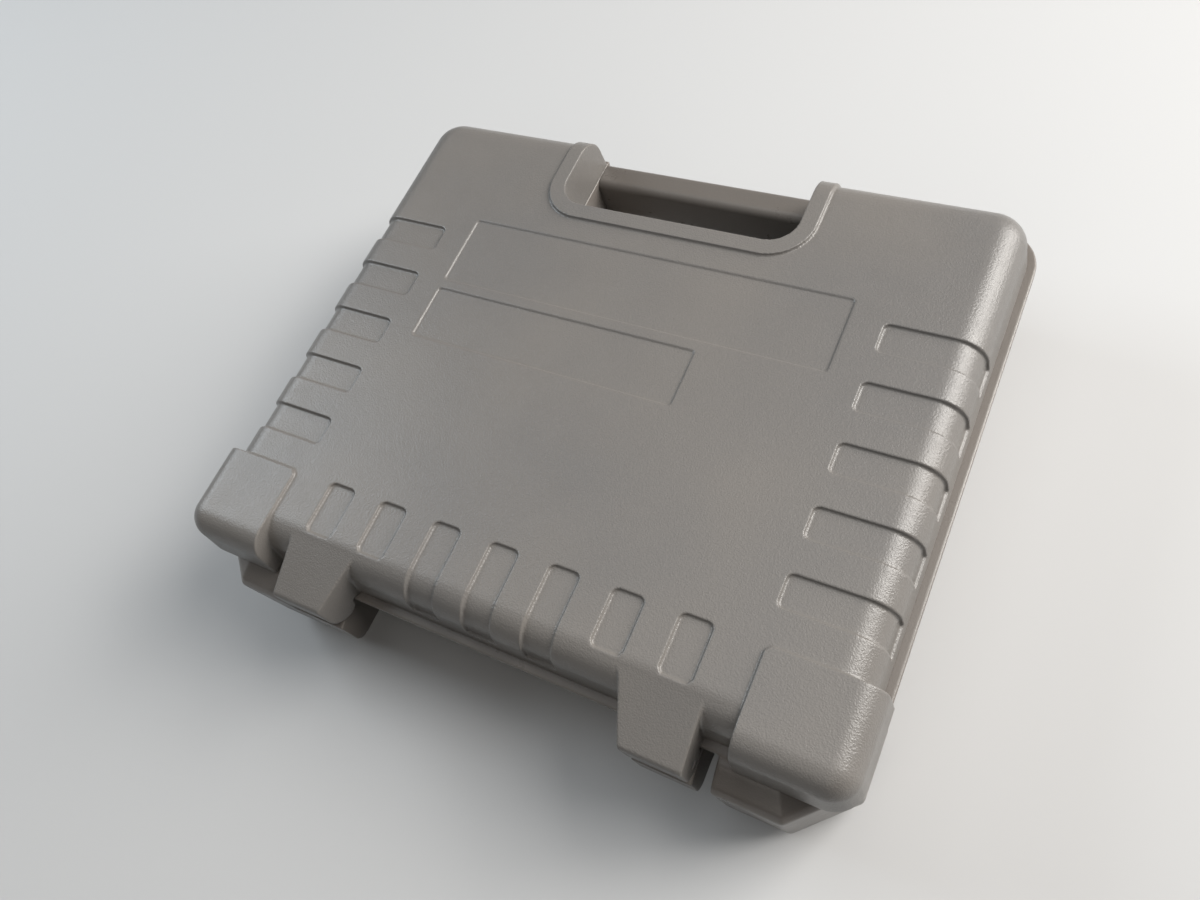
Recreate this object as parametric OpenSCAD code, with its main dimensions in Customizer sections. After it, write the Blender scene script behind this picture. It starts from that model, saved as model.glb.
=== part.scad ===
// Moulded carrying case for three compact effect pedals, lying closed on its feet.
// +Z is up through the lid's face, +Y points to the handle, X runs side to side.
// Millimetres; the origin is under the middle of the case, on the ground.

/* [Case] */
// Width over the rim, side to side
case_w = 366; // [350:1:400]
// Depth over the rim, hinge side to handle side
case_d = 300; // [290:1:330]
// Height of the base from its underside to the seam, without the feet
base_h = 67.5; // [62:0.5:80]
// Height of the lid from the seam to its face
lid_h = 28; // [27:0.5:34]
// Wall thickness of both shells
wall = 3.2; // [2.6:0.1:3.8]
// Corner radius of the rim, seen from above
rim_corner_r = 24; // [22:0.5:30]
// How far the rim stands out beyond the lid's walls
rim_ledge = 4.3; // [3.5:0.1:5]
// Height of the rim
rim_t = 4; // [3:0.5:6]
// Gap at the seam between rim and lid
seam_gap = 0.3; // [0.2:0.05:0.6]

/* [Shell shape] */
// Radius that turns the lid's face into its walls
lid_edge_r = 16; // [10:0.5:16]
// How far the lid's walls lean in over their height
lid_draft = 1.5; // [0.5:0.1:2.5]
// Radius that turns the base's underside into its walls
base_edge_r = 12; // [6:0.5:14]
// How far the base's walls lean in over their height
base_draft = 3.5; // [1:0.5:5]
// How far the rim stands out beyond the base's walls
base_ledge = 3.5; // [3:0.1:5]
// Height of the locating lip that stands up inside the lid's walls
lip_h = 3; // [2:0.5:5]
// Thickness of the locating lip
lip_t = 1.6; // [1.2:0.1:2.4]
// Gap between the locating lip and the lid's walls
lip_gap = 0.3; // [0.2:0.05:0.6]

/* [Pockets in the lid] */
// Width of each pocket
pocket_w = 16.1; // [12:0.1:20]
// Distance from one pocket to the next
pocket_pitch = 33; // [28:0.5:36]
// Depth of the pockets
pocket_depth = 1.65; // [0.8:0.05:2]
// Corner radius of the pockets
pocket_corner_r = 3.2; // [1.5:0.1:5]
// Height of the ledge that ends a pocket, above the seam
pocket_ledge_h = 7.4; // [4:0.2:10]
// Reach of the side pockets, in from the rim
side_pocket_reach = 55; // [40:1:60]
// Number of pockets along each side
side_pockets = 5; // [3:1:5]
// From the inner ends of the hinge-side row to the middle of the nearest side pocket
side_row_start = 24.3; // [20:0.1:30]
// Reach of the hinge-side pockets, in from the rim
end_pocket_reach = 46.7; // [44:0.1:56]
// Number of long pockets in the hinge-side row, which run over the edge
long_pockets = 3; // [1:2:3]
// Number of short pockets beyond them, to each side
short_pockets = 2; // [1:1:2]
// Length of the short pockets
short_pocket_len = 28; // [20:0.5:28]

/* [Raised parts of the lid] */
// Height of the collar and bumpers above the lid's face
raise_h = 1.65; // [0.8:0.05:2.4]
// Reach of the lid's corner bumpers along the hinge side, in from the rim
bumper_reach_x = 52.6; // [46:0.2:56]
// Reach of the lid's corner bumpers along the sides, in from the rim
bumper_reach_y = 45.9; // [40:0.2:46]
// How far a corner bumper stands out beyond the lid's side wall
bumper_out_x = 5.7; // [5:0.1:7]
// How far a corner bumper stands out beyond the lid's hinge-side wall
bumper_out_y = 8.5; // [6:0.1:9]
// Corner radius of the bumpers, seen from above
bumper_corner_r = 15; // [12:0.5:22]
// Radius of the bumpers' upper edge
bumper_edge_r = 13; // [8:0.5:16]
// Radius of the lid bumpers' inner corner, seen from above
bumper_inner_r = 4; // [1:0.5:8]

/* [Name panels] */
// Depth of the two bare panels
panel_depth = 0.9; // [0.4:0.1:1.2]
// Width of the upper panel
panel_w = 222; // [180:1:230]
// Height of the upper panel
panel_h = 42.8; // [30:0.2:46]
// Distance from the rim on the handle side to the upper panel
panel_from_rim = 79.2; // [78:0.2:90]
// Width of the lower panel, which shares the upper one's left edge
small_panel_w = 157; // [100:1:180]
// Height of the lower panel
small_panel_h = 32.6; // [20:0.2:36]
// Band between the two panels
panel_gap = 5.8; // [4:0.2:10]
// Corner radius of the panels
panel_corner_r = 2; // [1:0.5:5]

/* [Handle] */
// Width of the hand hole
hand_hole_w = 138.6; // [110:0.2:144]
// From the rim to the inner end of the hand hole
hand_hole_d = 56.1; // [50:0.1:60]
// Corner radius of the hand hole
hand_hole_r = 15; // [8:0.5:20]
// Width of the raised collar round the hand hole
collar_w = 9.2; // [6:0.1:10]
// Width of the grip bar
grip_w = 17; // [14:0.5:20]
// Height of the grip bar
grip_h = 27; // [20:0.5:30]
// Radius of the grip bar's long edges
grip_r = 4.6; // [2:0.1:6]
// From the rim's outer face to the grip bar
grip_set_back = 0.8; // [0.4:0.1:3]
// Length of the spigots that locate the grip in the side walls
grip_spigot = 2; // [1:0.1:2.4]
// Diameter of the screws that hold the grip
grip_screw_d = 4; // [3:0.1:5]

/* [Hinges] */
// Opening angle at which the hinge covers meet the base's hinge blocks
lid_open = 110; // [90:1:110]
// From the rim to the outer ends of the hinges
hinge_out = 16; // [15:0.1:18]
// From the rim's side to a hinge's outer face
hinge_side_in = 68.7; // [67:0.1:73]
// Width of a hinge at its free end
hinge_w = 29.7; // [26:0.1:34]
// How much wider the hinge cover is at its root
hinge_flare = 11.2; // [4:0.1:14]
// Outer radius of the lid's hinge eyes
hinge_eye_r = 7.5; // [7:0.1:7.8]
// Radius of the base's hinge knuckle
knuckle_r = 4.7; // [4:0.1:4.8]
// Diameter of the hinge pins
hinge_pin_d = 4; // [3:0.1:5]
// Thickness of the hinge's outer cheeks
cheek_t = 4; // [3:0.1:5]
// Thickness of the hinge cover
cover_t = 2.2; // [1.6:0.1:2.4]
// Angle at which the cover's face falls away from the lid's edge
cover_slope = 20; // [15:0.5:24]
// Radius that turns the cover's face into its end
cover_nose_r = 3; // [2:0.1:5]
// Height at which the hinge block ends, above the base's underside
pillar_low = 33.5; // [20:0.5:40]
// Radius of the hinge block's lower edge
pillar_r = 6; // [2:0.5:8]

/* [Base bumpers] */
// Reach of the base bumpers along the hinge side, in from the rim
base_bumper_w = 60.1; // [53:0.1:63]
// Reach of the base bumpers along the sides, in from the rim
base_bumper_reach = 45.9; // [36:0.2:48]
// Drop of the base bumpers' sloping shoulder
shoulder_drop = 6; // [4:0.1:9]
// From the bumper's face to the inner edge of its shoulder
shoulder_w = 11.8; // [8:0.1:14]
// How far the chamfer at the corner of a base bumper runs along each side
bumper_chamfer = 27; // [20:0.5:32]

/* [Latches] */
// From the rim's side to the middle of a latch
latch_side_in = 61; // [57:0.5:69]
// Width of a latch
latch_w = 40; // [30:0.5:44]
// Radius of the latch's barrel
latch_barrel_r = 4.5; // [4:0.1:5]
// Height of the latch's pivot above the seam
latch_pivot_h = 10.2; // [9:0.1:11]
// Diameter of the latch pins
latch_pin_d = 3; // [2:0.1:4]
// Thickness of the latch's plate
latch_t = 3.3; // [2.5:0.1:4]
// Radius of the bead along the latch's lower edge, which the finger lifts
latch_bead_r = 2.4; // [1.6:0.1:3]
// Depth of the catch rib below the seam, to its hooked edge
catch_drop = 12.5; // [10:0.1:16]
// Thickness of the catch rib
catch_t = 3.5; // [2.5:0.1:5]
// How far the catch rib stands out of the latch bay's floor
catch_out = 4.5; // [3.5:0.1:4.6]
// Gap between hook and catch rib, and between latch and bay
latch_gap = 0.3; // [0.2:0.05:0.5]

/* [Foam and feet] */
// Width of a pedal bay
bay_w = 76; // [70:0.5:78]
// Depth of a pedal bay
bay_d = 132; // [120:1:140]
// Thickness of the foam between the bays
divider_t = 14; // [8:0.5:18]
// Thickness of the floor pad
floor_pad_t = 8; // [4:0.5:10]
// Thickness of the lid's pad
lid_pad_t = 19.5; // [8:0.5:20]
// Gap between foam and whatever it lies against
foam_gap = 0.3; // [0.2:0.05:0.6]
// Height that the feet stand out below the base
foot_h = 2.5; // [1.5:0.5:5]
// Diameter of the feet
foot_d = 18; // [12:0.5:24]
// Depth of the seats that the feet are pressed into
foot_seat = 1.5; // [0.5:0.1:2]

/* [Hidden] */
$fn = 64;

left = -1;
right = 1;
rear = -1;
front = 1;
over = 1;               // how far a cutter runs past what it cuts
below_seam = 12;        // how far the lid's cutters reach below the seam
running_gap = 0.05;     // radial play of an eye that turns on its pin
seat_gap = 0.01;        // radial play of a hole that holds a pin

// Levels
under_z = foot_h;
seam_z = foot_h + base_h;
face_z = seam_z + lid_h;
lid_low_z = seam_z + seam_gap;

// Plan of the rim
rim_x = case_w / 2;
rim_rear_y = -(case_d - hinge_out) / 2;
rim_front_y = (case_d + hinge_out) / 2;
rear_end_y = rim_rear_y - hinge_out;

// Plan of the lid's walls where they meet the seam
lid_x = rim_x - rim_ledge;
lid_rear_y = rim_rear_y + rim_ledge;
lid_front_y = rim_front_y - rim_ledge;
lid_corner_r = rim_corner_r - rim_ledge;
lid_round = min(lid_edge_r, lid_corner_r - lid_draft - 0.5);

// Plan of the base's walls just under the rim
base_x = rim_x - base_ledge;
base_rear_y = rim_rear_y + base_ledge;
base_front_y = rim_front_y - base_ledge;
base_corner_r = rim_corner_r - base_ledge;
base_round = min(base_edge_r, base_corner_r - base_draft - 0.5);

// Locating lip: the lid's leaning walls are nearest to it at its top
lip_lean = lid_draft * lip_h / (face_z - lid_round - lid_low_z);
lip_step = lip_gap + lip_lean;

// Hand hole and grip
hole_x = hand_hole_w / 2;
hole_y = rim_front_y - hand_hole_d;
grip_front_y = rim_front_y - grip_set_back;
grip_rear_y = grip_front_y - grip_w;
grip_low_z = seam_z - grip_h;
grip_screw_y = grip_rear_y + grip_w * 0.31;
grip_screw_z = seam_z - grip_h / 2;
grip_mid_y = (grip_front_y + grip_rear_y) / 2 - 1.2;
screw_head_r = grip_screw_d;
screw_head_t = 2.6;
screw_grip = 11;        // how far a grip screw reaches into the bar

// Hinges
hinge_far_x = rim_x - hinge_side_in;
hinge_near_x = hinge_far_x - hinge_w;
hinge_root_x = hinge_near_x - hinge_flare;
axis_y = rear_end_y + hinge_eye_r;
axis_z = seam_z;
hinge_gap = 0.5;        // side play between cheeks and knuckle
eye_in_x = hinge_near_x + cheek_t;
eye_out_x = hinge_far_x - cheek_t;
pin_end_gap = 0.2;
pin_near_x = hinge_near_x + 1.6;
pin_far_x = hinge_far_x - 0.4;
stop_gap = 0.6;         // left between hinge cover and hinge block at the lid's stop

// Hinge covers: their faces leave the lid's rounded edge almost as tangents
edge_axis_y = lid_rear_y + lid_draft + lid_round;
edge_axis_z = face_z - lid_round;
cover_sink = 0.1;       // how deep the face lies in the rounded edge where it leaves it
cover_root_y = edge_axis_y - lid_round * sin(cover_slope);
nose_y = rear_end_y + cover_nose_r;
nose_z = cover_z(nose_y) - cover_nose_r / cos(cover_slope);

// Base bumpers
base_bumper_x = rim_x - base_bumper_w;
bumper_low_z = under_z + 1.5;
bumper_top_z = seam_z - 1;
bumper_draft = 1.2;
bumper_lip_w = 2.8;       // from the shoulder's outer edge to the bumper's face
bumper_lip_drop = 4;
chamfer_foot_less = 2;  // by how much the chamfer's foot is rounded less than the faces beside it

// Latches
latch_x = rim_x - latch_side_in;
bay_side_gap = 0.6;
bay_half = latch_w / 2 + bay_side_gap;
bay_cheek = 6;
pivot_y = lid_front_y - lid_draft - latch_pin_d / 2 - 1.2;
bay_floor_y = pivot_y - latch_barrel_r - 0.5;
pivot_z = seam_z + latch_pivot_h;
lid_bay_top = pivot_z + latch_barrel_r + 1.3;
catch_low_z = seam_z - catch_drop;
hook_t = 3.2;
hook_top_z = catch_low_z - latch_gap;
hook_in_y = bay_floor_y + 1.9;
latch_low_z = hook_top_z - hook_t - 4;
base_bay_low = latch_low_z - 3;
plate_front_y = pivot_y + latch_barrel_r;
plate_rear_y = plate_front_y - latch_t;
latch_ribs = 3;         // finger ribs above the bead
latch_rib_r = 0.7;
latch_rib_pitch = 3.2;

// Insides
floor_z = under_z + wall;
pad_top_z = floor_z + foam_gap + floor_pad_t;
foam_low_z = max(pad_top_z, under_z + base_round) + foam_gap;
foam_top_z = seam_z - rim_t;
foam_x = base_x - base_draft - wall - 0.5;
foam_rear_y = base_rear_y + base_draft + wall + 0.5;
foam_front_y = min(bay_floor_y - wall - 0.5, base_front_y - base_draft - wall - 0.5);
foam_corner_r = base_corner_r - base_draft - wall + 1;
row_x = bay_w * 1.5 + divider_t;
row_mid_y = (foam_rear_y + hole_y - wall) / 2;
row_rear_y = row_mid_y - bay_d / 2;
row_front_y = row_mid_y + bay_d / 2;
hole_side_x = hole_x + wall + screw_head_t + 1.5;
lid_pad_top_z = face_z - wall - foam_gap;
lid_pad_x = lid_x - lid_draft - lid_round - 0.5;
lid_pad_rear_y = lid_rear_y + lid_draft + lid_round + 0.5;
lid_pad_front_y = lid_front_y - lid_draft - lid_round - 0.5;
foot_x = base_x - base_draft - base_round - foot_d / 2 - 9;
foot_rear_y = base_rear_y + base_draft + base_round + foot_d / 2 + 9;
foot_front_y = base_front_y - base_draft - base_round - foot_d / 2 - 9;

// ---------- plan shapes and sweeps ----------

// A rectangle with rounded corners, from its edges
module rounded_rect(x_low, x_high, y_low, y_high, r) {
  translate([x_low + r, y_low])
    square([x_high - x_low - 2 * r, y_high - y_low]);
  translate([x_low, y_low + r])
    square([x_high - x_low, y_high - y_low - 2 * r]);
  for (x = [x_low + r, x_high - r])
    for (y = [y_low + r, y_high - r])
      translate([x, y])
        circle(r);
}

// The hand hole seen from above, grown by a distance and open towards the handle side
module hand_hole_plan(grow) {
  rounded_rect(-hole_x - grow, hole_x + grow, hole_y - grow, rim_front_y + 40, hand_hole_r + grow);
}

// A block that is rounded in plan, whose edge follows the profile given as a child;
// the profile is drawn outwards from the corner's axis
module swept_block(x_half, y_low, y_high, r, z_low, z_high) {
  run_x = x_half - r;
  run_y = y_high - y_low - 2 * r;
  mid_y = (y_low + y_high) / 2;
  translate([-run_x, y_low + r, z_low])
    cube([2 * run_x, run_y, z_high - z_low]);
  translate([0, mid_y, 0])
    for (flip_x = [0, 1])
      for (flip_y = [0, 1])
        mirror([flip_x, 0, 0])
          mirror([0, flip_y, 0])
            translate([run_x, run_y / 2, 0])
              rotate_extrude(angle = 90)
                children();
  translate([0, mid_y, 0])
    for (flip_x = [0, 1])
      mirror([flip_x, 0, 0])
        translate([run_x, run_y / 2, 0])
          rotate([90, 0, 0])
            linear_extrude(run_y)
              children();
  translate([0, mid_y, 0])
    for (flip_y = [0, 1])
      mirror([0, flip_y, 0])
        translate([-run_x, run_y / 2, 0])
          rotate([90, 0, 90])
            linear_extrude(2 * run_x)
              children();
}

// Edge profile with a leaning wall and a rounded top; any part below the lid's edge is upright
module top_profile(reach, draft, r, z_low, z_top) {
  polygon([[0, lid_low_z], [reach, lid_low_z], [reach - draft, z_top - r], [0, z_top - r]]);
  if (z_low < lid_low_z)
    translate([0, z_low])
      square([reach, lid_low_z - z_low]);
  translate([0, z_top - r])
    square([reach - draft - r, r]);
  translate([reach - draft - r, z_top - r])
    intersection() {
      circle(r);
      square([r, r]);
    }
}

// Edge profile with a leaning wall and a rounded foot
module foot_profile(reach, draft, r, z_foot, z_high) {
  polygon([[0, z_foot + r], [reach - draft, z_foot + r], [reach, z_high], [0, z_high]]);
  translate([0, z_foot])
    square([reach - draft - r, r]);
  translate([reach - draft - r, z_foot + r])
    intersection() {
      circle(r);
      translate([0, -r])
        square([r, r]);
    }
}

// The lid's outer form, moved inwards by a distance; below the seam it may run on
module lid_form(inset, z_low) {
  swept_block(lid_x - inset, lid_rear_y + inset, lid_front_y - inset,
              lid_corner_r - inset, z_low, face_z - inset)
    top_profile(lid_corner_r - inset, lid_draft, lid_round - inset, z_low, face_z - inset);
}

// The base's outer form under the rim, moved inwards by a distance
module base_form(inset, z_high) {
  swept_block(base_x - inset, base_rear_y + inset, base_front_y - inset,
              base_corner_r - inset, under_z + inset, z_high)
    foot_profile(base_corner_r - inset, base_draft, base_round - inset, under_z + inset, z_high);
}

// Plan of the inside of the lid's walls, moved inwards by a distance
module inside_plan(inset) {
  step = wall + inset;
  difference() {
    rounded_rect(-lid_x + step, lid_x - step, lid_rear_y + step, lid_front_y - step,
                 lid_corner_r - step);
    hand_hole_plan(step);
    for (side = [left, right])
      translate([side * latch_x - bay_half - bay_cheek - inset, bay_floor_y - step])
        square([2 * (bay_half + bay_cheek + inset), 40]);
  }
}

// The block of space round a latch, grown sideways, inwards and upwards
module latch_bay(side, grow_x, grow, z_low, z_high) {
  translate([side * latch_x - bay_half - grow_x, bay_floor_y - grow, z_low])
    cube([2 * (bay_half + grow_x), 40, z_high - z_low]);
}

// A hole or pin along X between two distances from the middle
module cross_cylinder(side, x_near, x_far, y, z, r) {
  mirror([side == left ? 1 : 0, 0, 0])
    translate([x_near, y, z])
      rotate([0, 90, 0])
        cylinder(h = x_far - x_near, r = r);
}

// ---------- lid ----------

// Plan of one pocket that runs from its rounded inner end to the right
module pocket_plan(length) {
  rounded_rect(0, length, -pocket_w / 2, pocket_w / 2, pocket_corner_r);
}

// All the pockets as upright blocks; the lid's inset form bounds their depth
module pocket_blocks() {
  low = seam_z + pocket_ledge_h;
  tall = face_z - low + over;
  row_y = rim_rear_y + end_pocket_reach;
  run_out = 40;
  for (flip = [0, 1])
    mirror([flip, 0, 0])
      for (i = [0:side_pockets - 1])
        translate([rim_x - side_pocket_reach, row_y + side_row_start + i * pocket_pitch, low])
          linear_extrude(tall)
            pocket_plan(side_pocket_reach + run_out);
  long_half = (long_pockets - 1) / 2;
  for (i = [-long_half:long_half])
    translate([i * pocket_pitch, row_y, low])
      rotate([0, 0, -90])
        linear_extrude(tall)
          pocket_plan(end_pocket_reach + run_out);
  for (flip = [0, 1])
    mirror([flip, 0, 0])
      for (i = [1:short_pockets])
        translate([(long_half + i) * pocket_pitch, row_y, low])
          rotate([0, 0, -90])
            linear_extrude(tall)
              pocket_plan(short_pocket_len);
}

// Collar round the hand hole, following the lid over its edge
module collar() {
  intersection() {
    lid_form(-raise_h, lid_low_z);
    translate([0, 0, lid_low_z])
      linear_extrude(lid_h + raise_h)
        hand_hole_plan(collar_w);
  }
}

// Plan of a corner on the right, from its inner edges outwards past the case
module corner_plan(x_in, y_in, r) {
  rounded_rect(x_in, case_w, -case_d, y_in, r);
}

// Both corner bumpers on the hinge side
module lid_bumpers() {
  top = face_z + raise_h;
  edge_r = min(bumper_edge_r, bumper_corner_r - lid_draft - 0.5);
  intersection() {
    swept_block(lid_x + bumper_out_x, lid_rear_y - bumper_out_y, lid_front_y,
                bumper_corner_r, lid_low_z, top)
      top_profile(bumper_corner_r, lid_draft, edge_r, lid_low_z, top);
    for (flip = [0, 1])
      mirror([flip, 0, 0])
        linear_extrude(top + over)
          corner_plan(rim_x - bumper_reach_x, rim_rear_y + bumper_reach_y, bumper_inner_r);
  }
}

// Height of a hinge cover's face, by its place along Y
function cover_z(y) =
  edge_axis_z + lid_round / cos(cover_slope) - (edge_axis_y - y) * tan(cover_slope) - cover_sink;

// Side view of a hinge cover with its eye; X of this drawing is the case's Y
module cover_profile() {
  polygon([
    [edge_axis_y, edge_axis_z],
    [cover_root_y, cover_z(cover_root_y)],
    [nose_y - cover_nose_r * sin(cover_slope), nose_z + cover_nose_r * cos(cover_slope)],
    [nose_y, nose_z],
    [rear_end_y, nose_z],
    [rear_end_y, axis_z],
    [axis_y, axis_z],
    [axis_y, lid_low_z],
    [edge_axis_y, lid_low_z]
  ]);
  translate([nose_y, nose_z])
    circle(cover_nose_r);
  translate([axis_y, axis_z])
    circle(hinge_eye_r);
}

// Side view of the hollow between a hinge's cheeks
module cover_hollow_profile() {
  end_y = rear_end_y + cover_t;
  skin = cover_t / cos(cover_slope);
  polygon([
    [lid_rear_y, axis_z - hinge_eye_r - over],
    [lid_rear_y, cover_z(lid_rear_y) - skin],
    [end_y, cover_z(end_y) - skin],
    [end_y, axis_z + over],
    [rear_end_y - over, axis_z + over],
    [rear_end_y - over, axis_z - hinge_eye_r - over]
  ]);
}

// Plan of a hinge cover on the right, whose inner side slants
module cover_plan() {
  polygon([
    [hinge_root_x, edge_axis_y],
    [hinge_root_x, cover_root_y],
    [hinge_near_x, rear_end_y - over],
    [hinge_far_x, rear_end_y - over],
    [hinge_far_x, edge_axis_y]
  ]);
}

// The solid outside of one hinge cover, on the right
module hinge_cover() {
  intersection() {
    rotate([90, 0, 90])
      linear_extrude(hinge_far_x + over)
        cover_profile();
    translate([0, 0, axis_z - hinge_eye_r - over])
      linear_extrude(lid_h + 2 * hinge_eye_r)
        cover_plan();
  }
}

// Recessed panel given by its left edge, upper edge and size
module panel_cut(x, y, w, h) {
  translate([0, 0, face_z - panel_depth])
    linear_extrude(panel_depth + over)
      rounded_rect(x, x + w, y - h, y, panel_corner_r);
}

module lid_shell() {
  panel_top = rim_front_y - panel_from_rim;
  color("#55534f")
    difference() {
      union() {
        difference() {
          lid_form(0, lid_low_z);
          difference() {
            pocket_blocks();
            lid_form(pocket_depth, lid_low_z - over);
          }
        }
        collar();
        lid_bumpers();
        for (flip = [0, 1])
          mirror([flip, 0, 0])
            hinge_cover();
      }
      // Bare panels
      panel_cut(-panel_w / 2, panel_top, panel_w, panel_h);
      panel_cut(-panel_w / 2, panel_top - panel_h - panel_gap, small_panel_w, small_panel_h);
      // Inside
      difference() {
        lid_form(wall, seam_z - below_seam);
        translate([0, 0, seam_z - below_seam - over])
          linear_extrude(lid_h + below_seam + 2 * over)
            hand_hole_plan(wall);
        for (side = [left, right])
          latch_bay(side, bay_cheek, wall, seam_z - below_seam - over, lid_bay_top + wall);
      }
      // Hand hole
      translate([0, 0, seam_z - over])
        linear_extrude(lid_h + raise_h + 2 * over)
          hand_hole_plan(0);
      for (side = [left, right]) {
        latch_bay(side, 0, 0, seam_z - over, lid_bay_top);
        cross_cylinder(side, latch_x - bay_half - bay_cheek + 1, latch_x + bay_half + bay_cheek - 1,
                       pivot_y, pivot_z, latch_pin_d / 2 + seat_gap);
        cross_cylinder(side, pin_near_x - pin_end_gap, hinge_far_x + over, axis_y, axis_z,
                       hinge_pin_d / 2 + running_gap);
      }
      for (flip = [0, 1])
        mirror([flip, 0, 0])
          translate([eye_in_x, 0, 0])
            rotate([90, 0, 90])
              linear_extrude(eye_out_x - eye_in_x)
                cover_hollow_profile();
    }
}

module lid_pad() {
  color("#2b2b2d")
    translate([0, 0, lid_pad_top_z - lid_pad_t])
      linear_extrude(lid_pad_t)
        difference() {
          rounded_rect(-lid_pad_x, lid_pad_x, lid_pad_rear_y, lid_pad_front_y, 6);
          hand_hole_plan(wall + 0.5);
        }
}

// ---------- base ----------

// Edge profile of a base bumper with its sloping shoulder, drawn outwards to its face
module bumper_profile(reach, foot_r) {
  lip_z = bumper_top_z - shoulder_drop;
  difference() {
    foot_profile(reach, bumper_draft, foot_r, bumper_low_z, bumper_top_z);
    polygon([
      [reach + over, bumper_top_z + over],
      [reach - shoulder_w, bumper_top_z + over],
      [reach - shoulder_w, bumper_top_z],
      [reach - bumper_lip_w, lip_z],
      [reach + 0.1, lip_z - bumper_lip_drop],
      [reach + over, lip_z - bumper_lip_drop]
    ]);
  }
}

// Both corner bumpers on the hinge side, each with three faces
module base_bumpers() {
  corner_reach = (rim_x - rear_end_y - bumper_chamfer) * sqrt(0.5);
  for (flip = [0, 1])
    mirror([flip, 0, 0])
      intersection() {
        linear_extrude(seam_z)
          corner_plan(base_bumper_x, rim_rear_y + base_bumper_reach, bumper_inner_r);
        translate([case_w, 0, 0])
          rotate([90, 0, -90])
            linear_extrude(case_w)
              bumper_profile(-rear_end_y, base_round);
        rotate([90, 0, 0])
          linear_extrude(case_d)
            bumper_profile(rim_x, base_round);
        rotate([90, 0, -45])
          linear_extrude(2 * case_d, center = true)
            bumper_profile(corner_reach, base_round - chamfer_foot_less);
      }
}

// Height of the surface that stops the open lid, by its place along Y
function stop_z(y) =
  axis_z - (hinge_eye_r + stop_gap + (y - axis_y) * cos(lid_open)) / sin(lid_open);

// Side view of the base's hinge block; X of this drawing is the case's Y
module pillar_profile() {
  web_y = axis_y + 3;
  low_z = under_z + pillar_low;
  polygon([
    [base_rear_y + wall, stop_z(web_y)],
    [web_y, stop_z(web_y)],
    [rear_end_y, stop_z(rear_end_y)],
    [rear_end_y, low_z + pillar_r],
    [rear_end_y + pillar_r, low_z],
    [base_rear_y + base_draft + wall, low_z]
  ]);
  translate([rear_end_y + pillar_r, low_z + pillar_r])
    circle(pillar_r);
}

// Side view of the knuckle and the web that joins it to the wall
module knuckle_profile() {
  translate([axis_y, axis_z])
    circle(knuckle_r);
  polygon([
    [axis_y, axis_z - 0.4],
    [base_rear_y + wall, axis_z - 0.4],
    [base_rear_y + wall, axis_z - hinge_eye_r - 2],
    [axis_y + 3, axis_z - hinge_eye_r - 2],
    [axis_y + 3, axis_z - 3]
  ]);
}

// Block and knuckle of one hinge, on the right
module base_hinge() {
  translate([hinge_near_x, 0, 0])
    rotate([90, 0, 90])
      linear_extrude(hinge_far_x - hinge_near_x)
        pillar_profile();
  translate([eye_in_x + hinge_gap, 0, 0])
    rotate([90, 0, 90])
      linear_extrude(eye_out_x - eye_in_x - 2 * hinge_gap)
        knuckle_profile();
}

// Rib that a latch hooks under
module catch_rib(side) {
  translate([side * latch_x - bay_half - over, bay_floor_y - over, catch_low_z])
    cube([2 * (bay_half + over), catch_out + over, catch_t]);
}

module base_shell() {
  color("#4c4843")
    difference() {
      union() {
        difference() {
          union() {
            base_form(0, seam_z - rim_t);
            translate([0, 0, seam_z - rim_t])
              linear_extrude(rim_t)
                rounded_rect(-rim_x, rim_x, rim_rear_y, rim_front_y, rim_corner_r);
            base_bumpers();
            for (flip = [0, 1])
              mirror([flip, 0, 0])
                base_hinge();
          }
          // Inside
          difference() {
            base_form(wall, seam_z + over);
            translate([0, 0, under_z])
              linear_extrude(base_h + 2 * over)
                hand_hole_plan(wall);
            for (side = [left, right])
              latch_bay(side, bay_cheek, wall, base_bay_low - wall, seam_z + 2 * over);
          }
          // Latch bays
          for (side = [left, right])
            latch_bay(side, 0, 0, base_bay_low, seam_z + over);
        }
        for (side = [left, right])
          catch_rib(side);
        // Band inside the rim, and the lip that stands up from it
        translate([0, 0, seam_z - rim_t])
          linear_extrude(rim_t)
            difference() {
              inside_plan(-wall / 2);
              inside_plan(lip_step + lip_t);
            }
        translate([0, 0, seam_z - over])
          linear_extrude(lip_h + over)
            difference() {
              inside_plan(lip_step);
              inside_plan(lip_step + lip_t);
            }
      }
      // Hand hole
      linear_extrude(seam_z + lip_h + over)
        hand_hole_plan(0);
      for (side = [left, right]) {
        cross_cylinder(side, eye_in_x, eye_out_x, axis_y, axis_z, hinge_pin_d / 2 + seat_gap);
        cross_cylinder(side, hole_x - over, hole_x + wall + over, grip_screw_y, grip_screw_z,
                       grip_screw_d / 2 + 0.2);
        translate([side * (hole_x + grip_spigot / 2), grip_mid_y, grip_screw_z])
          cube([grip_spigot + 0.4, grip_w * 0.72 + 0.4, grip_h * 0.6 + 0.4], center = true);
        for (y = [foot_rear_y, foot_front_y])
          translate([side * foot_x, y, under_z - over])
            cylinder(h = foot_seat + over, d = foot_d + 2 * seat_gap);
      }
    }
}

// ---------- grip ----------

module handle_grip() {
  color("#4a443d")
    difference() {
      union() {
        translate([-hole_x, 0, 0])
          rotate([90, 0, 90])
            linear_extrude(hand_hole_w)
              rounded_rect(grip_rear_y, grip_front_y, grip_low_z, seam_z, grip_r);
        translate([0, grip_mid_y, grip_screw_z])
          cube([hand_hole_w + 2 * grip_spigot, grip_w * 0.72, grip_h * 0.6], center = true);
      }
      for (side = [left, right])
        cross_cylinder(side, hole_x + wall - screw_grip - 1.5, hole_x + grip_spigot + over,
                       grip_screw_y, grip_screw_z, grip_screw_d / 2 + seat_gap);
    }
}

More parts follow.
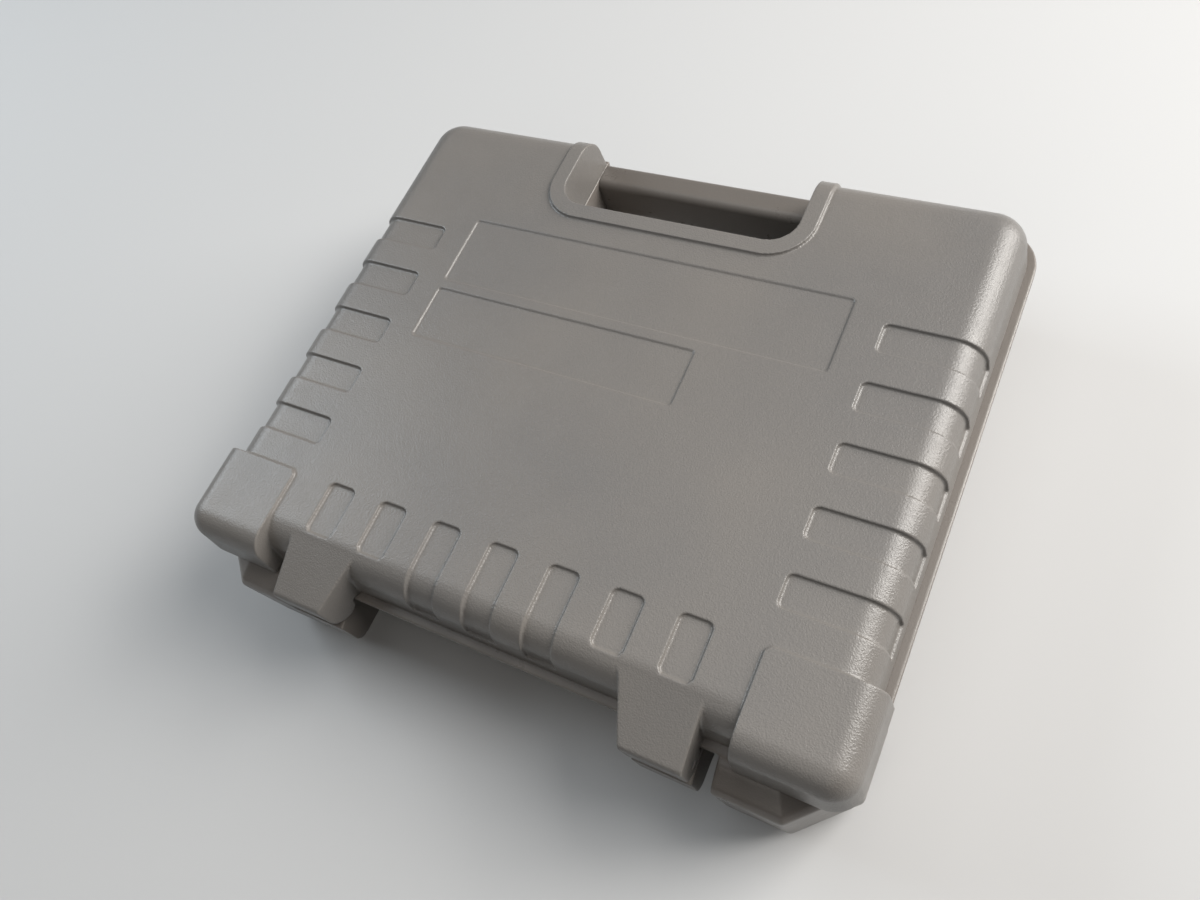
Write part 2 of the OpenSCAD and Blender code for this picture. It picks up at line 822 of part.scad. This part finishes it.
module grip_screws() {
  color("silver")
    for (side = [left, right]) {
      cross_cylinder(side, hole_x + wall - screw_grip, hole_x + wall + 0.1,
                     grip_screw_y, grip_screw_z, grip_screw_d / 2);
      cross_cylinder(side, hole_x + wall, hole_x + wall + screw_head_t,
                     grip_screw_y, grip_screw_z, screw_head_r);
    }
}

// ---------- hinge pins, latches and feet ----------

module hinge_pin(side) {
  color("#8a8a88")
    cross_cylinder(side, pin_near_x, pin_far_x, axis_y, axis_z, hinge_pin_d / 2);
}

// Side view of a latch with its bead and finger ribs; X of this drawing is the case's Y
module latch_profile() {
  translate([pivot_y, pivot_z])
    circle(latch_barrel_r);
  translate([plate_rear_y, latch_low_z])
    square([latch_t, pivot_z - latch_low_z]);
  translate([hook_in_y, hook_top_z - hook_t])
    square([plate_rear_y - hook_in_y + over, hook_t]);
  translate([plate_front_y - latch_bead_r / 3, latch_low_z + latch_bead_r])
    circle(latch_bead_r);
  for (i = [1:latch_ribs])
    translate([plate_front_y, latch_low_z + 2 * latch_bead_r + i * latch_rib_pitch])
      circle(latch_rib_r);
}

module latch(side) {
  color("#3e3b38")
    difference() {
      translate([side * latch_x - latch_w / 2, 0, 0])
        rotate([90, 0, 90])
          linear_extrude(latch_w)
            latch_profile();
      cross_cylinder(side, latch_x - latch_w / 2 - over, latch_x + latch_w / 2 + over,
                     pivot_y, pivot_z, latch_pin_d / 2 + running_gap);
    }
}

module latch_pin(side) {
  reach = bay_half + bay_cheek - 1.5;
  color("#8a8a88")
    cross_cylinder(side, latch_x - reach, latch_x + reach, pivot_y, pivot_z, latch_pin_d / 2);
}

module rubber_foot(side, end) {
  color("#1f1f20")
    translate([side * foot_x, end == rear ? foot_rear_y : foot_front_y, 0])
      rotate_extrude()
        polygon([
          [0, 0],
          [foot_d / 2 - 1.5, 0],
          [foot_d / 2, 1.5],
          [foot_d / 2, foot_h + foot_seat],
          [0, foot_h + foot_seat]
        ]);
}

// ---------- foam ----------

// Plan of the space that the foam fills, for all pieces together
module foam_plan() {
  difference() {
    rounded_rect(-foam_x, foam_x, foam_rear_y, foam_front_y, foam_corner_r);
    translate([-hole_side_x, hole_y - wall - 0.5])
      square([2 * hole_side_x, case_d]);
  }
}

// One foam piece, cut from the plan by a box given by its edges
module foam_piece(x_low, x_high, y_low, y_high) {
  color("#2b2b2d")
    translate([0, 0, foam_low_z])
      linear_extrude(foam_top_z - foam_low_z)
        intersection() {
          foam_plan();
          translate([x_low, y_low])
            square([x_high - x_low, y_high - y_low]);
        }
}

module floor_pad() {
  pad_x = base_x - base_draft - base_round - 0.5;
  pad_rear_y = base_rear_y + base_draft + base_round + 0.5;
  pad_front_y = base_front_y - base_draft - base_round - 0.5;
  color("#333335")
    translate([0, 0, floor_z + foam_gap])
      linear_extrude(floor_pad_t)
        difference() {
          rounded_rect(-pad_x, pad_x, pad_rear_y, pad_front_y, 6);
          hand_hole_plan(wall + 0.5);
        }
}

// End piece with a foot that fills the corner beside the hand hole, on the right
module foam_end_right() {
  color("#2b2b2d")
    translate([0, 0, foam_low_z])
      linear_extrude(foam_top_z - foam_low_z)
        intersection() {
          foam_plan();
          union() {
            translate([row_x + foam_gap, foam_rear_y])
              square([foam_x, case_d]);
            translate([hole_side_x + foam_gap, row_front_y + foam_gap])
              square([foam_x, case_d]);
          }
        }
}

module foam_end_left() {
  mirror([1, 0, 0])
    foam_end_right();
}

module foam_front() {
  foam_piece(-hole_side_x, hole_side_x, row_front_y + foam_gap, foam_front_y);
}

module foam_rear() {
  foam_piece(-row_x, row_x, foam_rear_y, row_rear_y);
}

module foam_divider(side) {
  mid = side * (bay_w + divider_t) / 2;
  foam_piece(mid - divider_t / 2, mid + divider_t / 2, row_rear_y + foam_gap, row_front_y);
}

base_shell();
lid_shell();
handle_grip();
grip_screws();
hinge_pin(left);  // hinge_pin_left
hinge_pin(right);  // hinge_pin_right
latch(left);  // latch_left
latch(right);  // latch_right
latch_pin(left);  // latch_pin_left
latch_pin(right);  // latch_pin_right
rubber_foot(left, front);  // foot_front_left
rubber_foot(right, front);  // foot_front_right
rubber_foot(left, rear);  // foot_rear_left
rubber_foot(right, rear);  // foot_rear_right
floor_pad();
foam_end_left();
foam_end_right();
foam_front();
foam_rear();
foam_divider(left);  // foam_divider_left
foam_divider(right);  // foam_divider_right
lid_pad();
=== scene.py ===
import math

import bmesh
import bpy
from mathutils import Matrix, Vector


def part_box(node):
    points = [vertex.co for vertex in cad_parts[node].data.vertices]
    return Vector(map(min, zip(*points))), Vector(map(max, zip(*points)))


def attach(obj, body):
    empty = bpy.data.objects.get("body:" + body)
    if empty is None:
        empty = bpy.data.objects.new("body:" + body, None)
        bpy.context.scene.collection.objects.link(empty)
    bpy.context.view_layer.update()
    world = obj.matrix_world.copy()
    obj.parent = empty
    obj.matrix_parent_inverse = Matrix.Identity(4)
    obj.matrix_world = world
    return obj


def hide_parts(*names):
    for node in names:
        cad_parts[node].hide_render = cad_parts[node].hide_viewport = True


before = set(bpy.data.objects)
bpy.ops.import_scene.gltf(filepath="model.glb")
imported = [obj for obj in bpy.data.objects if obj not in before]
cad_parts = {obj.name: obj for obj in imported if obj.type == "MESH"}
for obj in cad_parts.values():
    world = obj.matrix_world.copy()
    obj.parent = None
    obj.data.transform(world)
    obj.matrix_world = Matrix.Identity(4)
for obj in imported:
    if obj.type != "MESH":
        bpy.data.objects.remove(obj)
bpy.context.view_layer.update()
mm = 0.001
weldDistance = 0.001 * mm   # corners closer than this are one corner
sharpEdge = 32              # degrees from which an edge of a turned piece stays crisp
print("frame loaded:", len(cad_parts), "nodes")


# Small helpers for meshes and objects

def makeObject(name, mesh):
    obj = bpy.data.objects.new(name, mesh)
    bpy.context.scene.collection.objects.link(obj)
    return obj


def finishBmesh(name, bm):
    mesh = bpy.data.meshes.new(name)
    bm.to_mesh(mesh)
    bm.free()
    return makeObject(name, mesh)


def shadeSmooth(obj, sharpAngle=None):
    for poly in obj.data.polygons:
        poly.use_smooth = True
    if sharpAngle is not None:
        obj.data.set_sharp_from_angle(angle=math.radians(sharpAngle))


def applyModifier(obj, kind, **values):
    modifier = obj.modifiers.new(kind.title(), kind)
    for key, value in values.items():
        setattr(modifier, key, value)
    bpy.context.view_layer.objects.active = obj
    bpy.ops.object.modifier_apply(modifier=modifier.name)


# A welded copy of a CAD node's mesh, to be shaped further
def mergedCopy(nodeName, pieceName):
    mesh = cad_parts[nodeName].data.copy()
    bm = bmesh.new()
    bm.from_mesh(mesh)
    bmesh.ops.remove_doubles(bm, verts=bm.verts, dist=weldDistance)
    bpy.data.meshes.remove(mesh)
    return finishBmesh(pieceName, bm)


# Gives a piece its finish, the body it rides on and the CAD nodes it stands for
def dress(piece, body, nodes, material):
    piece.data.materials.clear()
    piece.data.materials.append(material)
    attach(piece, body)
    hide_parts(*nodes)


# Material helpers

def newMaterial(name):
    material = bpy.data.materials.new(name)
    material.use_nodes = True
    tree = material.node_tree
    shader = tree.nodes["Principled BSDF"]
    return material, tree, shader


def addNode(tree, kind, inputs=None, **values):
    node = tree.nodes.new(kind)
    for key, value in values.items():
        setattr(node, key, value)
    for key, value in (inputs or {}).items():
        if isinstance(value, bpy.types.NodeSocket):
            tree.links.new(value, node.inputs[key])
        else:
            node.inputs[key].default_value = value
    return node


def objectPoint(tree):
    return addNode(tree, "ShaderNodeTexCoord").outputs["Object"]


def noise(tree, point, scale, detail=3.0, rough=0.55, twist=0.0):
    node = addNode(tree, "ShaderNodeTexNoise", {
        "Vector": point, "Scale": scale, "Detail": detail, "Roughness": rough, "Distortion": twist})
    return node.outputs["Fac"]


def ramp(tree, value, low, high, toLow=0.0, toHigh=1.0):
    node = addNode(tree, "ShaderNodeMapRange", {
        "Value": value, "From Min": low, "From Max": high, "To Min": toLow, "To Max": toHigh})
    return node.outputs["Result"]


def mathNode(tree, operation, a, b):
    return addNode(tree, "ShaderNodeMath", {0: a, 1: b}, operation=operation).outputs[0]


def mixColour(tree, share, colourA, colourB):
    node = addNode(tree, "ShaderNodeMix", data_type="RGBA")
    for key, value in ((0, share), (6, colourA), (7, colourB)):
        if isinstance(value, bpy.types.NodeSocket):
            tree.links.new(value, node.inputs[key])
        elif key == 0:
            node.inputs[key].default_value = value
        else:
            node.inputs[key].default_value = (*value, 1)
    return node.outputs[2]


def bump(tree, height, distance, normal=None):
    inputs = {"Height": height, "Distance": distance, "Strength": 1.0}
    if normal is not None:
        inputs["Normal"] = normal
    return addNode(tree, "ShaderNodeBump", inputs).outputs["Normal"]


# Moulded plastic with a leather grain: soft pebbles between shallow creases

def pebbleGrain(tree, point, look):
    bend = addNode(tree, "ShaderNodeTexNoise", {
        "Vector": point, "Scale": look["bendScale"] / look["grainSize"], "Detail": 2.0})
    shift = addNode(tree, "ShaderNodeVectorMath", {0: bend.outputs["Color"]}, operation="SCALE")
    shift.inputs["Scale"].default_value = look["bendReach"] * look["grainSize"]
    bent = addNode(tree, "ShaderNodeVectorMath", {0: point, 1: shift.outputs[0]}, operation="ADD")
    pebbles = addNode(tree, "ShaderNodeTexVoronoi", {
        "Vector": bent.outputs[0], "Scale": 1 / look["grainSize"], "Smoothness": 0.6},
        feature="SMOOTH_F1")
    fine = noise(tree, point, look["fineScale"] / look["grainSize"], detail=2.0)
    pebbleHeight = ramp(tree, pebbles.outputs["Distance"], 0.1, 0.75, 1.0, 0.0)
    return mathNode(tree, "ADD", pebbleHeight, mathNode(tree, "MULTIPLY", fine, look["fineShare"]))


# Three reliefs on top of each other: the mould's slow waves, the hide's folds, the pebbles
def grainNormal(tree, point, grain, look):
    flow = noise(tree, point, look["flowScale"], detail=1.0)
    hide = noise(tree, point, look["hideScale"] / look["grainSize"], detail=2.0, rough=0.5,
                 twist=0.6)
    flowNormal = bump(tree, flow, look["flowDepth"])
    hideNormal = bump(tree, hide, look["hideDepth"], normal=flowNormal)
    return bump(tree, grain, look["grainDepth"], normal=hideNormal)


# Colour: slow drift, a little dust in the creases, rubbed edges
def plasticColour(tree, point, grain, look):
    drift = noise(tree, point, look["driftScale"], detail=2.0)
    base = mixColour(tree, ramp(tree, drift, 0.35, 0.65), look["colour"], look["colourDrift"])
    creases = ramp(tree, grain, 0.2, 0.8, 1.0, 0.0)
    dustShare = mathNode(tree, "MULTIPLY", creases, look["dust"])
    dusty = mixColour(tree, dustShare, base, look["dustColour"])
    worn = addNode(tree, "ShaderNodeNewGeometry").outputs["Pointiness"]
    patches = noise(tree, point, look["wearScale"], detail=4.0, rough=0.7)
    edge = mathNode(tree, "MULTIPLY", ramp(tree, worn, 0.53, 0.62), ramp(tree, patches, 0.45, 0.7))
    wearShare = mathNode(tree, "MULTIPLY", edge, look["wear"])
    return mixColour(tree, wearShare, dusty, look["wearColour"])


def mouldedPlastic(name, look):
    material, tree, shader = newMaterial(name)
    point = objectPoint(tree)
    grain = pebbleGrain(tree, point, look)
    tree.links.new(grainNormal(tree, point, grain, look), shader.inputs["Normal"])
    tree.links.new(plasticColour(tree, point, grain, look), shader.inputs["Base Color"])
    uneven = noise(tree, point, look["sheenScale"], detail=5.0, rough=0.65)
    roughness = ramp(tree, uneven, 0.3, 0.7, look["roughness"] - look["roughSpread"],
                     look["roughness"] + look["roughSpread"])
    tree.links.new(roughness, shader.inputs["Roughness"])
    shader.inputs["IOR"].default_value = look["ior"]
    return material


# What the three plastics share; bend, fine and hide scales are per grain size
plasticBase = {
    "driftScale": 9.0, "sheenScale": 60.0, "wearScale": 90.0, "flowScale": 22.0,
    "flowDepth": 0.12 * mm, "bendScale": 0.6, "bendReach": 0.9, "fineScale": 2.6,
    "fineShare": 0.35, "hideScale": 0.42, "dust": 0.25, "wear": 0.5, "roughSpread": 0.05,
    "ior": 1.52,
}
lidLook = dict(
    plasticBase, grainSize=0.8 * mm, grainDepth=0.075 * mm, hideDepth=0.07 * mm, roughness=0.33,
    colour=(0.163, 0.155, 0.148), colourDrift=(0.184, 0.171, 0.158),
    dustColour=(0.205, 0.19, 0.175), wearColour=(0.28, 0.25, 0.22))
baseLook = dict(
    plasticBase, grainSize=0.6 * mm, grainDepth=0.03 * mm, hideDepth=0.03 * mm, roughness=0.31,
    colour=(0.168, 0.152, 0.138), colourDrift=(0.180, 0.161, 0.145),
    dustColour=(0.21, 0.185, 0.165), wearColour=(0.28, 0.245, 0.21))
# The grip: the base plastic with darker colours, painted shade that sets the grip darker than the
# rest of the base
gripShadedLook = dict(
    baseLook, colour=(0.128, 0.117, 0.107), colourDrift=(0.138, 0.125, 0.113),
    dustColour=(0.17, 0.15, 0.135), wearColour=(0.24, 0.21, 0.18))
latchLook = dict(
    plasticBase, grainSize=0.5 * mm, grainDepth=0.02 * mm, hideDepth=0.02 * mm, roughness=0.32,
    colour=(0.060, 0.056, 0.052), colourDrift=(0.068, 0.063, 0.058),
    dustColour=(0.10, 0.095, 0.088), wearColour=(0.16, 0.15, 0.14))

lidPlastic = mouldedPlastic("lidPlastic", lidLook)
basePlastic = mouldedPlastic("basePlastic", baseLook)
gripShadedPlastic = mouldedPlastic("gripShadedPlastic", gripShadedLook)
latchPlastic = mouldedPlastic("latchPlastic", latchLook)


def steelMaterial(look):
    material, tree, shader = newMaterial("drawnSteel")
    point = objectPoint(tree)
    shader.inputs["Metallic"].default_value = 1.0
    tone = mixColour(tree, ramp(tree, noise(tree, point, look["stainScale"]), 0.4, 0.6),
                     look["colour"], look["stain"])
    tree.links.new(tone, shader.inputs["Base Color"])
    grain = noise(tree, point, look["grainScale"])
    smoothest, roughest = look["roughness"]
    tree.links.new(ramp(tree, grain, 0.3, 0.7, smoothest, roughest), shader.inputs["Roughness"])
    tree.links.new(bump(tree, grain, look["grainDepth"]), shader.inputs["Normal"])
    return material


drawnSteel = steelMaterial({
    "colour": (0.50, 0.50, 0.51), "stain": (0.40, 0.39, 0.38), "stainScale": 180.0,
    "grainScale": 2200.0, "grainDepth": 0.01 * mm, "roughness": (0.28, 0.42)})


def rubberMaterial(look):
    material, tree, shader = newMaterial("footRubber")
    point = objectPoint(tree)
    tone = mixColour(tree, ramp(tree, noise(tree, point, look["dustScale"], detail=5.0), 0.45, 0.7),
                     look["colour"], look["dust"])
    tree.links.new(tone, shader.inputs["Base Color"])
    tree.links.new(bump(tree, noise(tree, point, look["grainScale"]), look["grainDepth"]),
                   shader.inputs["Normal"])
    shader.inputs["Roughness"].default_value = look["roughness"]
    return material


footRubber = rubberMaterial({
    "colour": (0.022, 0.022, 0.022), "dust": (0.06, 0.058, 0.055), "dustScale": 140.0,
    "grainScale": 1500.0, "grainDepth": 0.05 * mm, "roughness": 0.78})


# Open-cell foam: a mesh of pores in a matt surface, the pores darkened with painted shade in the
# pits

def foamMaterial(look):
    material, tree, shader = newMaterial("openCellFoam")
    point = objectPoint(tree)
    pores = addNode(tree, "ShaderNodeTexVoronoi", {"Vector": point, "Scale": 1 / look["poreSize"]})
    bigPores = addNode(tree, "ShaderNodeTexVoronoi", {
        "Vector": point, "Scale": look["bigPoreScale"] / look["poreSize"]})
    pit = ramp(tree, pores.outputs["Distance"], 0.1, 0.6)
    bigPit = ramp(tree, bigPores.outputs["Distance"], 0.05, 0.45)
    height = mathNode(tree, "MULTIPLY", pit, mathNode(tree, "ADD", bigPit, 0.4))
    # Painted shade: the deeper the pore, the nearer its colour to the dark pore colour
    tone = mixColour(tree, height, look["poreShadeColour"], look["colour"])
    fadeShare = mathNode(tree, "MULTIPLY", noise(tree, point, look["fadeScale"]), look["fadeMost"])
    faded = mixColour(tree, fadeShare, tone, look["fade"])
    tree.links.new(faded, shader.inputs["Base Color"])
    tree.links.new(bump(tree, height, look["poreDepth"]), shader.inputs["Normal"])
    shader.inputs["Roughness"].default_value = look["roughness"]
    shader.inputs["Specular IOR Level"].default_value = look["shine"]
    shader.inputs["Sheen Weight"].default_value = look["sheen"]
    shader.inputs["Sheen Roughness"].default_value = look["sheenRoughness"]
    return material


openCellFoam = foamMaterial({
    "poreSize": 0.9 * mm, "poreDepth": 0.35 * mm, "bigPoreScale": 0.45,
    "colour": (0.060, 0.060, 0.064), "poreShadeColour": (0.014, 0.014, 0.015),
    "fade": (0.085, 0.085, 0.09), "fadeScale": 14.0, "fadeMost": 0.5,
    "roughness": 0.95, "shine": 0.15, "sheen": 0.25, "sheenRoughness": 0.6})
print("materials ready")


# The moulded pieces: the exact forms with the edges rounded as a mould leaves them


def step(value, low, high):
    return min(1.0, max(0.0, (value - low) / (high - low)))


# The base's two corner bumpers, in mm: each pair is where the extra rounding starts and is full
bumperCorners = {
    "side": (120.0, 123.0), "front": (108.0, 114.0), "pastWall": (143.2, 145.0),
    "belowRim": (-64.0, -60.0)}


# Share of the extra rounding at one point of the base
def cornerShare(point, zone):
    x, y, z = abs(point.x) / mm, point.y / mm, point.z / mm
    outside = max(step(-y, *zone["pastWall"]), step(-z, *zone["belowRim"]))
    return outside * step(x, *zone["side"]) * step(-y, *zone["front"])


def roundCorners(piece, shape):
    group = piece.vertex_groups.new(name="corners")
    for vert in piece.data.vertices:
        share = cornerShare(vert.co, bumperCorners)
        if share > 0:
            group.add([vert.index], share, "REPLACE")
    passes = shape["cornerPasses"]
    applyModifier(piece, "SMOOTH", iterations=passes, factor=0.5, vertex_group="corners")
    piece.vertex_groups.clear()


def roundedPiece(nodeName, pieceName, shape):
    piece = mergedCopy(nodeName, pieceName)
    voxel = shape["voxel"] * 1
    applyModifier(piece, "REMESH", mode="VOXEL", voxel_size=voxel)
    applyModifier(piece, "SMOOTH", iterations=shape["smoothing"], factor=0.5)
    if "cornerPasses" in shape:
        roundCorners(piece, shape)
    triangles = 2 * len(piece.data.polygons)
    if triangles > shape["triangles"]:
        applyModifier(piece, "DECIMATE", ratio=shape["triangles"] / triangles)
    shadeSmooth(piece)
    print(pieceName, "rounded:", len(piece.data.polygons), "faces")
    return piece


lidShape = {"voxel": 0.6 * mm, "smoothing": 1, "triangles": 195000}
baseShape = {"voxel": 0.6 * mm, "smoothing": 2, "triangles": 195000, "cornerPasses": 24}
partShape = {"voxel": 0.4 * mm, "smoothing": 3, "triangles": 90000}

lidShell = roundedPiece("lid_shell", "lidShell", lidShape)
dress(lidShell, "lid", ["lid_shell"], lidPlastic)

baseShell = roundedPiece("base_shell", "baseShell", baseShape)
dress(baseShell, "base", ["base_shell"], basePlastic)

gripBar = roundedPiece("handle_grip", "gripBar", partShape)
dress(gripBar, "base", ["handle_grip"], gripShadedPlastic)

for side in ("left", "right"):
    latch = roundedPiece("latch_" + side, "latch" + side.title(), partShape)
    dress(latch, "latch_" + side, ["latch_" + side], latchPlastic)


# Foam: cut blocks whose edges have gone soft

def foamPiece(nodeName, pieceName, body, shape):
    piece = mergedCopy(nodeName, pieceName)
    applyModifier(piece, "REMESH", mode="VOXEL", voxel_size=shape["voxel"])
    applyModifier(piece, "SMOOTH", iterations=shape["smoothing"], factor=0.5)
    shadeSmooth(piece)
    dress(piece, body, [nodeName], openCellFoam)


foamShape = {"voxel": 2.0 * mm, "smoothing": 5, "fill": 0.8}
foamPieces = {
    "floor_pad": ("floorPad", "base"), "foam_end_left": ("foamEndLeft", "base"),
    "foam_end_right": ("foamEndRight", "base"), "foam_front": ("foamFront", "base"),
    "foam_rear": ("foamRear", "base"), "foam_divider_left": ("foamDividerLeft", "base"),
    "foam_divider_right": ("foamDividerRight", "base"), "lid_pad": ("lidPad", "lid"),
}
for nodeName, (pieceName, body) in foamPieces.items():
    foamPiece(nodeName, pieceName, body, foamShape)
print("foam cut")


# Turned pieces: pins, screws and feet, each spun from half of its section

def turnedPiece(name, section, turn, place, steps):
    bm = bmesh.new()
    verts = [bm.verts.new((radius, 0, along)) for along, radius in section]
    edges = [bm.edges.new(pair) for pair in zip(verts, verts[1:])]
    bmesh.ops.spin(bm, geom=verts + edges, cent=(0, 0, 0), axis=(0, 0, 1), dvec=(0, 0, 0),
                   angle=math.tau, steps=steps, use_merge=True, use_duplicate=False)
    bmesh.ops.remove_doubles(bm, verts=bm.verts, dist=weldDistance)
    bmesh.ops.recalc_face_normals(bm, faces=bm.faces)
    bmesh.ops.rotate(bm, verts=bm.verts, cent=(0, 0, 0), matrix=turn)
    bmesh.ops.translate(bm, verts=bm.verts, vec=place)
    piece = finishBmesh(name, bm)
    shadeSmooth(piece, sharpEdge)
    return piece


alongX = Matrix.Rotation(math.radians(90), 3, "Y")
upright = Matrix.Identity(3)
pinLook = {"chamfer": 0.35 * mm, "steps": 48}


def turnedPin(nodeName, pieceName, body, look):
    low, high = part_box(nodeName)
    length = high[0] - low[0]
    radius = (high[2] - low[2]) / 2
    chamfer = look["chamfer"]
    section = [(0, 0), (0, radius - chamfer), (chamfer, radius), (length - chamfer, radius),
               (length, radius - chamfer), (length, 0)]
    place = (low[0], (low[1] + high[1]) / 2, (low[2] + high[2]) / 2)
    pin = turnedPiece(pieceName, section, alongX, place, look["steps"])
    dress(pin, body, [nodeName], drawnSteel)


for side in ("left", "right"):
    turnedPin("hinge_pin_" + side, "hingePin" + side.title(), "base", pinLook)
    turnedPin("latch_pin_" + side, "latchPin" + side.title(), "lid", pinLook)


# The two screws of the grip: a pan head with a crossed recess, and a pointed shank
screwLook = {
    "section": [(0, 0), (0.8, 1.1), (2.4, 2.0), (11.0, 2.0), (11.0, 3.7), (11.3, 4.0), (12.3, 3.9),
                (13.1, 3.3), (13.6, 2.2), (13.6, 0)],
    "recessDepth": 1.5, "recessWidth": 0.9, "recessSpan": 4.2, "steps": 48,
}


def crossCutter(look, headEnd, turn, place):
    bm = bmesh.new()
    for quarter in (0, 90):
        blade = bmesh.ops.create_cube(bm, size=1.0)["verts"]
        size = (look["recessSpan"] * mm, look["recessWidth"] * mm, 2 * look["recessDepth"] * mm)
        bmesh.ops.scale(bm, verts=blade, vec=size)
        bmesh.ops.rotate(bm, verts=blade, cent=(0, 0, 0),
                         matrix=Matrix.Rotation(math.radians(quarter), 3, "Z"))
        bmesh.ops.translate(bm, verts=blade, vec=(0, 0, headEnd))
    bmesh.ops.rotate(bm, verts=bm.verts, cent=(0, 0, 0), matrix=turn)
    bmesh.ops.translate(bm, verts=bm.verts, vec=place)
    return finishBmesh("recessCutter", bm)


def gripScrew(name, outward, look):
    low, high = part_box("grip_screws")
    section = [(along * mm, radius * mm) for along, radius in look["section"]]
    headEnd = section[-1][0]
    turn = Matrix.Rotation(math.radians(90 * outward), 3, "Y")
    place = (outward * (high[0] - headEnd), (low[1] + high[1]) / 2, (low[2] + high[2]) / 2)
    screw = turnedPiece(name, section, turn, place, look["steps"])
    cutter = crossCutter(look, headEnd, turn, place)
    applyModifier(screw, "BOOLEAN", object=cutter, operation="DIFFERENCE", solver="EXACT",
                  use_self=True)
    bpy.data.objects.remove(cutter)
    return screw


screws = [gripScrew("gripScrewLeft", -1, screwLook), gripScrew("gripScrewRight", 1, screwLook)]
for screw in screws:
    shadeSmooth(screw, sharpEdge)
    dress(screw, "base", ["grip_screws"], drawnSteel)
print("pins and screws turned")


# Rubber feet: a rounded rim round a shallow dished middle
footLook = {
    "section": [(0.7, 0), (0.7, 3.0), (0.45, 4.2), (0.12, 5.4), (0, 6.4), (0, 7.4), (0.12, 8.0),
                (0.45, 8.55), (1.0, 8.88), (1.8, 9.0), (4.0, 9.0), (4.0, 0)],
    "steps": 72,
}

for end in ("front", "rear"):
    for side in ("left", "right"):
        nodeName = "foot_" + end + "_" + side
        low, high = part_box(nodeName)
        place = ((low[0] + high[0]) / 2, (low[1] + high[1]) / 2, low[2])
        section = [(along * mm, radius * mm) for along, radius in footLook["section"]]
        foot = turnedPiece("foot" + end.title() + side.title(), section, upright, place,
                           footLook["steps"])
        dress(foot, "base", [nodeName], footRubber)
print("feet turned")


# Floor, light and camera

studio = {
    "floorColour": 0.56, "floorBounce": 0.10, "floorSize": 6.0, "floorRoughness": 0.9,
    "floorShine": 0.1,
    "worldColour": (0.85, 0.92, 1.0), "worldLight": 0.03,
    "lamps": [
        {"name": "rightLamp", "toward": (0.70, 0.60, 0.45), "far": 2.4, "size": 1.5, "power": 61.0,
         "colour": (1.0, 0.97, 0.93)},
        {"name": "highLamp", "toward": (0.56, 0.34, 0.76), "far": 1.6, "size": 0.8, "power": 17.0,
         "colour": (1.0, 0.98, 0.95)},
        {"name": "leftLamp", "toward": (-0.80, 0.04, 0.58), "far": 1.6, "size": 0.8, "power": 10.0,
         "colour": (0.84, 0.93, 1.0)},
        {"name": "topLamp", "toward": (0.0, 0.10, 1.0), "far": 1.6, "size": 1.2, "power": 4.0,
         "colour": (1.0, 1.0, 1.0)},
        {"name": "frontLamp", "toward": (0.10, -0.70, 0.70), "far": 1.6, "size": 1.0, "power": 2.6,
         "colour": (1.0, 0.95, 0.88)},
    ],
}


# A soft square lamp that looks at the case from the way given by "toward"
def softLamp(look):
    data = bpy.data.lights.new(look["name"], "AREA")
    data.shape = "SQUARE"
    data.size = look["size"]
    data.energy = look["power"]
    data.color = look["colour"]
    lamp = makeObject(look["name"], data)
    aim = Vector(look["toward"]).normalized()
    lamp.location = aim * look["far"]
    lamp.rotation_euler = aim.to_track_quat("Z", "Y").to_euler()


# The floor shows pale, also in reflections, but throws little light back on the case
def paleFloor(look):
    material, tree, shader = newMaterial("paleFloor")
    path = addNode(tree, "ShaderNodeLightPath").outputs
    mirrored = mathNode(tree, "MAXIMUM", path["Is Glossy Ray"], path["Is Transmission Ray"])
    seen = mathNode(tree, "MAXIMUM", path["Is Camera Ray"], mirrored)
    tone = mixColour(tree, seen, (look["floorBounce"],) * 3, (look["floorColour"],) * 3)
    tree.links.new(tone, shader.inputs["Base Color"])
    shader.inputs["Roughness"].default_value = look["floorRoughness"]
    shader.inputs["Specular IOR Level"].default_value = look["floorShine"]
    return material


def buildStudio(look):
    bm = bmesh.new()
    bmesh.ops.create_grid(bm, x_segments=1, y_segments=1, size=look["floorSize"])
    floor = finishBmesh("floor", bm)
    floor.data.materials.append(paleFloor(look))
    world = bpy.data.worlds.new("softRoom")
    world.use_nodes = True
    background = world.node_tree.nodes["Background"]
    background.inputs["Color"].default_value = (*look["worldColour"], 1)
    background.inputs["Strength"].default_value = look["worldLight"]
    bpy.context.scene.world = world
    for lampLook in look["lamps"]:
        softLamp(lampLook)


buildStudio(studio)

cameraLook = {
    "place": (0.2055, -0.1840, 0.4917), "turn": (27.58, 14.60, 25.07), "lens": 28.52,
    "sensor": 36.0, "clipStart": 0.01}
cameraData = bpy.data.cameras.new("camera")
cameraData.lens = cameraLook["lens"]
cameraData.sensor_width = cameraLook["sensor"]
cameraData.clip_start = cameraLook["clipStart"]
camera = makeObject("camera", cameraData)
camera.location = cameraLook["place"]
camera.rotation_euler = [math.radians(angle) for angle in cameraLook["turn"]]
bpy.context.scene.camera = camera
bpy.context.scene.view_settings.view_transform = "Standard"
print("studio ready")
